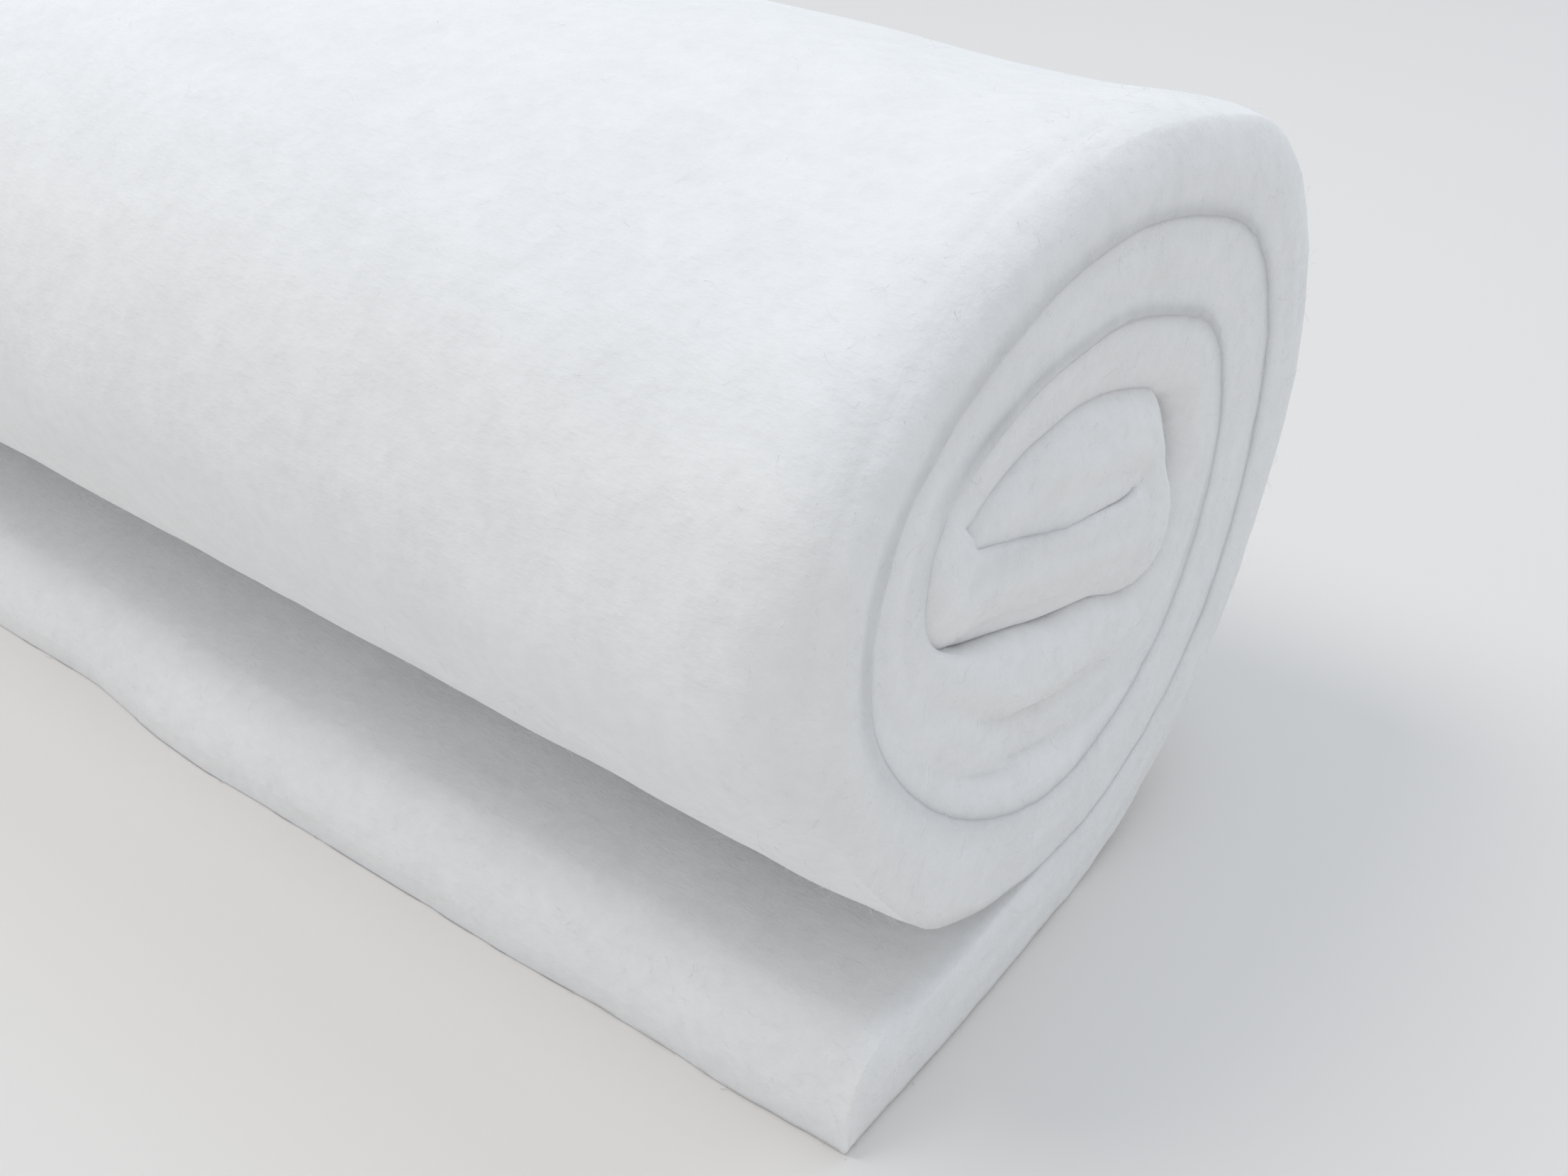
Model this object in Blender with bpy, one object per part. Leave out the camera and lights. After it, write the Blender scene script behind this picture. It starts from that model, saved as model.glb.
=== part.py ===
"""Roll of upholstery wadding, lying on its own loose end.

One length of thick soft web is wound nearly three times round its own inner end, which is folded double.
The loose outer end lies flat underneath and reaches out to the front. X runs along the roll, Y to its back
and Z up.
"""

import math

import bmesh
import bpy
import numpy as np

MM = 0.001

# Driving sizes in millimetres
WEB_WIDTH = 690.0          # cut width of the web, which is the length of the roll
FLAP_LENGTH = 86.0         # flat loose end, from its cut edge to the spot under the middle of the roll
MIDDLE_HEIGHT = 113.0      # height of the middle of the winding over the floor

# Spacing and smoothing of the cross lines that make the section
SAMPLES_ALONG_WEB = 132    # cross lines from the flap's cut edge to the inner end
CLOSEST_LINES = 4.5        # distance between cross lines in the tightest bends, mm
WIDEST_LINES = 17.0        # distance between cross lines where the web is straight, mm
BEND_PER_LINE = 0.30       # bend from one cross line to the next, radians
STEPS_PER_TURN = 360       # steps in which a wrap is worked out
WRAP_SOFTENING = 10        # steps over which a wrap's outside is evened out, either way
LINE_SOFTENING = 5         # the same for the middle line
VALUE_SOFTENING = 8        # the same for the thickness and the set-back
HEADING_STEPS = 5          # steps from which the heading at the end of the wraps is read

# Outside of the first wrap: turns from the floor contact by way of the back, reach from the middle in mm
OUTLINE_COLUMNS = ("turn", "reach")
OUTLINE = (
    (0 / 12, 113.0),
    (1 / 12, 118.5),
    (2 / 12, 124.0),
    (3 / 12, 130.0),
    (4 / 12, 121.0),
    (5 / 12, 98.5),
    (6 / 12, 89.0),
    (7 / 12, 90.5),
    (8 / 12, 99.0),
    (9 / 12, 97.0),
    (10 / 12, 87.0),
    (11 / 12, 83.5),
)

# The web at each quarter of each wrap, in mm: its thickness, the gap between it and the wrap outside it,
# and how far its cut edge lies behind the roll's end
WRAP_COLUMNS = ("turn", "thickness", "gap", "set_back")
WRAPS = (
    (0.00, 22.0, 1.3, 0.0),
    (0.12, 21.0, 1.3, 0.0),
    (0.25, 22.0, 1.3, 0.0),
    (0.50, 19.5, 1.3, 0.5),
    (0.75, 18.0, 1.3, 0.0),
    (1.00, 21.0, 1.3, 0.0),
    (1.12, 21.0, 2.5, 2.5),
    (1.25, 23.0, 7.0, 5.0),
    (1.50, 17.5, 1.6, 3.5),
    (1.75, 16.5, 1.3, 3.0),
    (1.80, 20.0, 1.3, 3.0),
    (1.86, 28.0, 1.3, 3.0),
    (1.96, 33.5, 1.3, 2.5),
    (2.04, 30.5, 1.3, 2.5),
    (2.13, 20.0, 1.5, 3.0),
    (2.25, 19.0, 1.8, 4.0),
    (2.50, 16.5, 1.5, 4.0),
    (2.75, 15.0, 1.3, 3.5),
)
SPIRAL_TURNS = 2.665

# Inner end, run by run: length in mm, bend in degrees (to the left as the web runs inwards),
# thickness and set-back at the end of the run in mm
CORE_COLUMNS = ("length", "bend", "thickness", "set_back")
CORE = (
    (23.0, 110.0, 16.5, 5.0),    # left-hand bend, from the third wrap into the core
    (30.0, 0.0, 20.0, 5.5),      # lower lobe, its thinner part
    (42.0, 12.0, 25.5, 5.5),     # lower lobe, its thick part
    (42.0, 180.0, 25.0, 7.5),    # right-hand fold
    (31.0, 0.0, 23.5, 6.0),      # upper lobe
    (28.0, 13.0, 14.0, 6.0),     # upper lobe, thinning to the inner cut edge
)

# Rounding of a cut edge: distance from the edge in mm, share of the full thickness that is left there,
# and how far the outside of the outermost wrap is drawn in there in mm
EDGE_COLUMNS = ("distance", "share", "drawn_in")
EDGE = (
    (0.0, 0.78, 7.0),
    (1.5, 0.91, 4.8),
    (4.0, 0.98, 2.8),
    (9.0, 1.0, 0.9),
    (16.0, 1.0, 0.0),
)

# Rounding of the flap's cut edge, whose underside stays flat: distance from the edge in mm, and share of
# the full thickness that is left there
FLAP_EDGE_COLUMNS = ("distance", "share")
FLAP_EDGE = (
    (0.0, 0.32),
    (1.5, 0.50),
    (4.0, 0.70),
    (8.0, 0.87),
    (15.0, 1.0),
)

# The section along the roll: distance from the visible end in mm, height and width as a share, how far
# the flap's cut edge reaches past its mean line in mm, and how far the roll settles on its back in mm
ALONG_COLUMNS = ("place", "height", "width", "edge_reach", "settled")
ALONG = (
    (0.0, 0.996, 1.000, -1.4, 0.0),
    (16.0, 0.981, 1.000, -0.9, 2.5),
    (40.0, 0.972, 0.999, -0.3, 5.6),
    (65.0, 0.975, 0.998, 0.3, 6.4),
    (95.0, 0.984, 0.998, 1.0, 6.6),
    (135.0, 0.990, 1.000, 1.9, 6.6),
    (185.0, 1.000, 1.003, 2.4, 6.6),
    (235.0, 1.004, 1.005, 2.8, 6.6),
    (285.0, 0.999, 1.003, -1.7, 6.6),
    (330.0, 0.994, 0.999, -1.1, 6.6),
    (430.0, 1.004, 0.996, 1.8, 6.6),
    (550.0, 0.995, 1.004, -1.4, 6.6),
    (674.0, 0.990, 1.002, 0.8, 5.6),
    (690.0, 0.994, 1.002, 0.6, 4.0),
)

FLAP_SET_BACK = 1.5        # how far the flap's corner lies behind the roll's end, mm
FLAP_SHARE = 0.8           # share of the flap that follows the line of its cut edge
FLOOR_SNAP = 0.6           # height under which the underside lies on the floor, mm
SETTLED_FROM = 8.0         # across the roll, where its settling starts and where it is full, mm
SETTLED_FULL = 36.0
SETTLED_UP_TO = 60.0       # height up to which the wraps settle, mm
OUTERMOST_TURNS = (0.02, 0.2, 0.4, 0.7, 0.85)    # turns between which the outside is drawn in at an end
OUTERMOST_SHARES = (0.0, 0.5, 1.0, 1.0, 0.0)     # share of the drawing in at each of these

WADDING_COLOUR = (0.80, 0.81, 0.83, 1.0)
WADDING_ROUGHNESS = 0.95
SHARP_ANGLE = 50.0         # bend from which an edge is shaded sharp, degrees


def smooth_value(columns, rows, name, places):
    """Read a column of a table at the given places, on a smooth curve through its rows."""
    known = np.array([row[0] for row in rows])
    values = np.array([row[columns.index(name)] for row in rows])
    slopes = np.gradient(values, known)
    places = np.clip(places, known[0], known[-1])
    row = np.clip(np.searchsorted(known, places, side="right") - 1, 0, len(known) - 2)
    step = known[row + 1] - known[row]
    share = (places - known[row]) / step
    near = 1.0 - share
    return (values[row] * (1.0 + 2.0 * share) * near ** 2
            + values[row + 1] * (1.0 + 2.0 * near) * share ** 2
            + slopes[row] * step * share * near ** 2
            - slopes[row + 1] * step * near * share ** 2)


def softened(values, reach):
    """Average each value with its neighbours, and leave both ends where they are."""
    padded = np.concatenate([np.full(reach, values[0]), values, np.full(reach, values[-1])])
    kernel = np.ones(2 * reach + 1) / (2 * reach + 1)
    return np.convolve(padded, kernel, mode="valid")


def inward_normals(points):
    """Give the left-hand normals of a line of points, which face the middle of the winding."""
    run = np.gradient(points, axis=0)
    run /= np.linalg.norm(run, axis=1, keepdims=True)
    return np.column_stack([-run[:, 1], run[:, 0]])


def wound_reach(turns, thickness, gap):
    """Work out the reach of every wrap's outside: each lies one web and one gap inside the one before."""
    first_turn = turns < 1.0
    closing = (1.0, OUTLINE[0][1] - thickness[0] - gap[STEPS_PER_TURN])
    reach = smooth_value(OUTLINE_COLUMNS, OUTLINE + (closing,), "reach", turns)
    for here in range(int(first_turn.sum()), len(turns)):
        before = here - STEPS_PER_TURN
        slope = (reach[before + 1] - reach[before]) * STEPS_PER_TURN / (2.0 * math.pi)
        slant = math.hypot(1.0, slope / reach[before])
        reach[here] = reach[before] - (thickness[before] + gap[here]) * slant
    return softened(reach, WRAP_SOFTENING)


def wound_wraps():
    """Middle line, thickness, set-back and turns of the wraps, a row for each step."""
    turns = np.arange(int(SPIRAL_TURNS * STEPS_PER_TURN) + 1) / STEPS_PER_TURN
    thickness = smooth_value(WRAP_COLUMNS, WRAPS, "thickness", turns)
    gap = smooth_value(WRAP_COLUMNS, WRAPS, "gap", turns)
    set_back = smooth_value(WRAP_COLUMNS, WRAPS, "set_back", turns)
    reach = wound_reach(turns, thickness, gap)
    angle = 2.0 * math.pi * (turns - 0.25)
    outside = np.column_stack([reach * np.cos(angle), MIDDLE_HEIGHT + reach * np.sin(angle)])
    outside[:, 1] = np.maximum(outside[:, 1], 0.0)
    middle = outside + inward_normals(outside) * thickness[:, None] / 2.0
    return middle, thickness, set_back, turns


def folded_core(start, heading):
    """Middle line, thickness and set-back of the folded inner end, a row for about each millimetre."""
    points = []
    thickness = []
    set_back = []
    place = np.array(start)
    last_thickness = WRAPS[-1][WRAP_COLUMNS.index("thickness")]
    last_set_back = WRAPS[-1][WRAP_COLUMNS.index("set_back")]
    for length, bend, next_thickness, next_set_back in CORE:
        steps = int(length)
        for step in range(1, steps + 1):
            heading += math.radians(bend) / steps
            place = place + np.array([math.cos(heading), math.sin(heading)]) * length / steps
            points.append(place)
            share = step / steps
            thickness.append(last_thickness + (next_thickness - last_thickness) * share)
            set_back.append(last_set_back + (next_set_back - last_set_back) * share)
        last_thickness = next_thickness
        last_set_back = next_set_back
    return np.array(points), np.array(thickness), np.array(set_back)


def flat_flap(end, thickness):
    """Middle line of the loose end, from its cut edge to where the first wrap starts."""
    steps = int(FLAP_LENGTH)
    across = np.linspace(end[0] - FLAP_LENGTH, end[0], steps, endpoint=False)
    return np.column_stack([across, np.full(steps, thickness / 2.0)])


def web_path():
    """The whole middle line of the web with its thickness, set-back and turns, closely spaced."""
    middle, thickness, set_back, turns = wound_wraps()
    run = middle[-1] - middle[-1 - HEADING_STEPS]
    core, core_thickness, core_set_back = folded_core(middle[-1], math.atan2(run[1], run[0]))
    flap = flat_flap(middle[0], thickness[0])
    line = np.concatenate([flap, middle, core])
    line = np.column_stack([softened(line[:, 0], LINE_SOFTENING), softened(line[:, 1], LINE_SOFTENING)])
    thicknesses = np.concatenate([np.full(len(flap), thickness[0]), thickness, core_thickness])
    set_backs = np.concatenate([np.full(len(flap), set_back[0]), set_back, core_set_back])
    all_turns = np.concatenate([np.zeros(len(flap)), turns, np.full(len(core), turns[-1])])
    return line, softened(thicknesses, VALUE_SOFTENING), softened(set_backs, VALUE_SOFTENING), all_turns


def spaced_samples(line, thickness):
    """Choose places along the line for the cross lines: close where it bends, wide where it is straight."""
    steps = np.linalg.norm(np.diff(line, axis=0), axis=1)
    length = np.concatenate([[0.0], np.cumsum(steps)])
    run = np.gradient(line, axis=0)
    heading = np.unwrap(np.arctan2(run[:, 1], run[:, 0]))
    bend = softened(np.abs(np.gradient(heading, length)), VALUE_SOFTENING)
    spacing = BEND_PER_LINE / np.maximum(bend, BEND_PER_LINE / WIDEST_LINES)
    spacing = np.maximum(spacing, CLOSEST_LINES)
    spacing[length < thickness[0] / 2.0] = CLOSEST_LINES
    spacing[length > length[-1] - thickness[-1] / 2.0] = CLOSEST_LINES
    count = np.concatenate([[0.0], np.cumsum(steps / softened(spacing, VALUE_SOFTENING)[1:])])
    return np.interp(np.linspace(0.0, count[-1], SAMPLES_ALONG_WEB), count, length), length


def station_places():
    """Distances of the cross sections from the visible end, in mm."""
    rounded = [row[0] for row in EDGE]
    between = [row[0] for row in ALONG if rounded[-1] < row[0] < WEB_WIDTH - rounded[-1]]
    return rounded + between + [WEB_WIDTH - place for place in reversed(rounded)]


def settled_heights(points, settled):
    """Let the back of the roll down onto the floor, most at its underside and not at all higher up."""
    across = np.clip((points[:, 0] - SETTLED_FROM) / (SETTLED_FULL - SETTLED_FROM), 0.0, 1.0)
    low = np.clip(1.0 - points[:, 1] / SETTLED_UP_TO, 0.0, 1.0)
    heights = points[:, 1] - settled * across * across * (3.0 - 2.0 * across) * low * low
    return np.where(heights < FLOOR_SNAP, 0.0, heights)


def section_rings():
    """Closed outline of the web at each station: the outer skin inwards, then the inner skin back out."""
    line, thickness, set_back, turns = web_path()
    at, length = spaced_samples(line, thickness)
    columns = np.column_stack([line, inward_normals(line), thickness, set_back, turns])
    picked = np.column_stack([np.interp(at, length, column) for column in columns.T])
    middle = picked[:, 0:2]
    inward = picked[:, 2:4] / np.linalg.norm(picked[:, 2:4], axis=1, keepdims=True)
    half = picked[:, 4] / 2.0 * smooth_value(EDGE_COLUMNS, EDGE, "share", at[-1] - at)
    top_share = 2.0 * smooth_value(FLAP_EDGE_COLUMNS, FLAP_EDGE, "share", at) - 1.0
    near_flap_edge = np.clip(1.0 - at / (FLAP_SHARE * FLAP_LENGTH), 0.0, 1.0) ** 2
    behind = picked[:, 5] + FLAP_SET_BACK * near_flap_edge
    outermost = np.interp(picked[:, 6], OUTERMOST_TURNS, OUTERMOST_SHARES)
    rings = []
    for place in station_places():
        from_end = min(place, WEB_WIDTH - place)
        share = smooth_value(EDGE_COLUMNS, EDGE, "share", from_end)
        drawn_in = smooth_value(EDGE_COLUMNS, EDGE, "drawn_in", from_end) * outermost
        along = WEB_WIDTH / 2.0 - place - behind * max(0.0, 1.0 - 2.0 * place / WEB_WIDTH)
        outer = middle - inward * (half * share - drawn_in)[:, None]
        inner = middle + inward * (half * share * top_share)[:, None]
        ring = np.concatenate([outer, inner[::-1]])
        ring[:, 0] *= smooth_value(ALONG_COLUMNS, ALONG, "width", place)
        ring[:, 1] *= smooth_value(ALONG_COLUMNS, ALONG, "height", place)
        reach = smooth_value(ALONG_COLUMNS, ALONG, "edge_reach", place) * near_flap_edge
        ring[:, 0] -= np.concatenate([reach, reach[::-1]])
        ring[:, 1] = settled_heights(ring, smooth_value(ALONG_COLUMNS, ALONG, "settled", place))
        rings.append(np.column_stack([np.concatenate([along, along[::-1]]), ring]))
    return rings


def wadding_mesh(rings):
    """Extrude the outline of the section from station to station and close both cut ends."""
    shape = bmesh.new()
    slot = shape.verts.layers.int.new("place_in_outline")
    ring = [shape.verts.new(point) for point in rings[0]]
    for number, vert in enumerate(ring):
        vert[slot] = number
    edges = [shape.edges.new((ring[i - 1], ring[i])) for i in range(len(ring))]
    close_cut_end(shape, ring)
    for outline in rings[1:]:
        grown = bmesh.ops.extrude_edge_only(shape, edges=edges)["geom"]
        edges = [item for item in grown if isinstance(item, bmesh.types.BMEdge)]
        ring = [item for item in grown if isinstance(item, bmesh.types.BMVert)]
        ring.sort(key=lambda vert: vert[slot])
        for vert in ring:
            vert.co = outline[vert[slot]]
    close_cut_end(shape, ring)
    bmesh.ops.recalc_face_normals(shape, faces=shape.faces)
    bmesh.ops.triangulate(shape, faces=shape.faces)
    return shape


def close_cut_end(shape, ring):
    """Fill a cut end with a face between each two neighbouring cross lines."""
    last = len(ring) - 1
    for i in range(len(ring) // 2 - 1):
        shape.faces.new((ring[i], ring[i + 1], ring[last - i - 1], ring[last - i]))


def wadding_material():
    """White polyester fibre: pale, slightly cool and fully matt."""
    material = bpy.data.materials.new("wadding")
    material.use_nodes = True
    shader = material.node_tree.nodes["Principled BSDF"]
    shader.inputs["Base Color"].default_value = WADDING_COLOUR
    shader.inputs["Roughness"].default_value = WADDING_ROUGHNESS
    shader.inputs["Metallic"].default_value = 0.0
    return material


def make_wadding():
    """Make the wound web, with the middle of its footprint at the origin."""
    rings = section_rings()
    corners = np.concatenate(rings)
    middle = (corners.min(axis=0) + corners.max(axis=0)) / 2.0
    middle[2] = corners[:, 2].min()
    shape = wadding_mesh([(ring - middle) * MM for ring in rings])
    mesh = bpy.data.meshes.new("wadding")
    shape.to_mesh(mesh)
    shape.free()
    mesh.shade_smooth()
    mesh.set_sharp_from_angle(angle=math.radians(SHARP_ANGLE))
    wadding = bpy.data.objects.new("wadding", mesh)
    bpy.context.collection.objects.link(wadding)
    wadding.data.materials.append(wadding_material())


for leftover in list(bpy.data.objects):
    bpy.data.objects.remove(leftover)

make_wadding()
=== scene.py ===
"""Dressed scene of a roll of upholstery wadding that lies on its own loose end.

A flat length of web is cut, wound round its folded inner end and finished with plies, soft dents and
loose fibres. Sizes are in millimetres, unless a name or a unit says otherwise, and the mesh is in metres.
"""

import logging
import math
from dataclasses import dataclass
from enum import Enum

import bpy
import numpy as np
from mathutils import Matrix, Vector, noise


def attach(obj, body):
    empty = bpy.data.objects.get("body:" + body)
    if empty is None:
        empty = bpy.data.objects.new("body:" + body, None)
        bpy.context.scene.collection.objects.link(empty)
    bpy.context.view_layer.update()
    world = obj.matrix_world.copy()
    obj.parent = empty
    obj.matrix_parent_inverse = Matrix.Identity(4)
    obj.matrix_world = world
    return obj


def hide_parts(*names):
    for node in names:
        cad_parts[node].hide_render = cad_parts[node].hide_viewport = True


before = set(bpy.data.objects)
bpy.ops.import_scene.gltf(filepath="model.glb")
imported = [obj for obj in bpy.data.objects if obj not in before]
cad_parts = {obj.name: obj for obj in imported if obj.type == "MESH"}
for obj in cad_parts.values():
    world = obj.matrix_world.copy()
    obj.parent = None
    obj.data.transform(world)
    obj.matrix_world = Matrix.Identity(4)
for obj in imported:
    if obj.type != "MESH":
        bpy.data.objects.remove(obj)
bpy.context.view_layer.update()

MM = 0.001
LOG = logging.getLogger("wadding_scene")


@dataclass(frozen=True)
class Table:
    """Rows of sizes under named columns, read on a smooth curve through the rows."""

    columns: tuple[str, ...]
    rows: tuple[tuple[float, ...], ...]

    def column(self, name: str) -> np.ndarray:
        """Give one column as an array."""
        return np.array([row[self.columns.index(name)] for row in self.rows])

    def read(self, name: str, places: np.ndarray) -> np.ndarray:
        """Read a column at the given places.

        Args:
            name: The column's name.
            places: Places in the first column's own unit.

        Returns:
            The column's value at each place, level beyond both ends of the table.
        """
        known = np.array([row[0] for row in self.rows])
        values = self.column(name)
        slopes = np.gradient(values, known)
        places = np.clip(places, known[0], known[-1])
        row = np.clip(np.searchsorted(known, places, side="right") - 1, 0, len(known) - 2)
        step = known[row + 1] - known[row]
        share = (places - known[row]) / step
        near = 1.0 - share
        return (values[row] * (1.0 + 2.0 * share) * near ** 2
                + values[row + 1] * (1.0 + 2.0 * near) * share ** 2
                + slopes[row] * step * share * near ** 2
                - slopes[row + 1] * step * near * share ** 2)


def softened(values: np.ndarray, reach: int) -> np.ndarray:
    """Average each value with its neighbours.

    Args:
        values: A row of values.
        reach: How many neighbours count on either side.

    Returns:
        The evened-out row, of the same length.
    """
    padded = np.concatenate([np.full(reach, values[0]), values, np.full(reach, values[-1])])
    return np.convolve(padded, np.ones(2 * reach + 1) / (2 * reach + 1), mode="valid")


def uneven(places: np.ndarray, wavelength: float, seed: float) -> np.ndarray:
    """Smooth random unevenness over a cloud of points.

    Args:
        places: Points in mm, three columns.
        wavelength: Rough size of one swell, in mm.
        seed: Shifts the pattern, so that two calls differ.

    Returns:
        A value from about -1 to 1 for each point.
    """
    shift = Vector((seed * 17.3, seed * -9.1, seed * 5.7))
    return np.array([noise.noise(Vector(point) / wavelength + shift) for point in places])


def eased(share: np.ndarray) -> np.ndarray:
    """Turn a share from 0 to 1 into one that starts and ends level."""
    return share ** 2 * (3.0 - 2.0 * share)


def ramp(values: np.ndarray, start: float, full: float) -> np.ndarray:
    """Rise evenly from 0 to 1.

    Args:
        values: Values to read the ramp at.
        start: Where the ramp is 0, and stays so before it.
        full: Where the ramp is 1, and stays so past it.

    Returns:
        The ramp at each value.
    """
    return np.clip((values - start) / (full - start), 0.0, 1.0)


def ridge(values: np.ndarray, middle: float | np.ndarray, reach: float) -> np.ndarray:
    """Rise smoothly to 1 at a place and fall again.

    Args:
        values: Values to read the ridge at.
        middle: Where the ridge is 1.
        reach: How far from there it has fallen to about a third.

    Returns:
        The ridge at each value.
    """
    return np.exp(-((values - middle) / reach) ** 2)


def along_only(places: np.ndarray) -> np.ndarray:
    """Make points on the X axis, to read unevenness along one line."""
    return np.column_stack([places, 0.0 * places, 0.0 * places])


def points_of(piece: bpy.types.Object) -> np.ndarray:
    """Read a piece's vertices as rows of three numbers."""
    flat = np.zeros(len(piece.data.vertices) * 3)
    piece.data.vertices.foreach_get("co", flat)
    return flat.reshape(-1, 3)


def divide_long_edges(piece: bpy.types.Object, axis: int, longer_than: float, cuts: int) -> None:
    """Subdivide the edges that run far along one axis.

    Args:
        piece: The piece, in object mode.
        axis: 0, 1 or 2 for X, Y or Z.
        longer_than: How far an edge has to run along the axis.
        cuts: Number of new points on each of them.
    """
    bpy.context.tool_settings.mesh_select_mode = (False, True, False)
    bpy.ops.object.mode_set(mode="EDIT")
    bpy.ops.mesh.select_all(action="DESELECT")
    bpy.ops.object.mode_set(mode="OBJECT")
    ends = np.zeros(len(piece.data.edges) * 2, dtype=int)
    piece.data.edges.foreach_get("vertices", ends)
    reach = points_of(piece)[ends.reshape(-1, 2), axis]
    piece.data.edges.foreach_set("select", np.abs(reach[:, 0] - reach[:, 1]) > longer_than)
    bpy.ops.object.mode_set(mode="EDIT")
    bpy.ops.mesh.subdivide(number_cuts=cuts)
    bpy.ops.object.mode_set(mode="OBJECT")


def smooth_closed(piece: bpy.types.Object) -> None:
    """Turn all faces outward and shade them smooth."""
    bpy.ops.object.mode_set(mode="EDIT")
    bpy.ops.mesh.select_all(action="SELECT")
    bpy.ops.mesh.normals_make_consistent(inside=False)
    bpy.ops.object.mode_set(mode="OBJECT")
    bpy.ops.object.shade_smooth()
    LOG.info("%s: %d faces", piece.name, len(piece.data.polygons))


@dataclass(frozen=True)
class Run:
    """Places along the web, and what the web is like at each of them."""

    line: np.ndarray
    inward: np.ndarray
    thickness: np.ndarray
    set_back: np.ndarray
    hollow: np.ndarray
    rim: np.ndarray
    swell: np.ndarray
    turns: np.ndarray
    length: np.ndarray

    def at(self, places: np.ndarray) -> "Run":
        """Read the run at other places.

        Args:
            places: Lengths along the web in mm.

        Returns:
            The run at those places only.
        """
        def single(values: np.ndarray) -> np.ndarray:
            """Read one value at the places."""
            return np.interp(places, self.length, values)

        inward = np.column_stack([single(column) for column in self.inward.T])
        inward /= np.linalg.norm(inward, axis=1, keepdims=True)
        line = np.column_stack([single(column) for column in self.line.T])
        return Run(line, inward, single(self.thickness), single(self.set_back), single(self.hollow),
                   single(self.rim), single(self.swell), single(self.turns), places)


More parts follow.
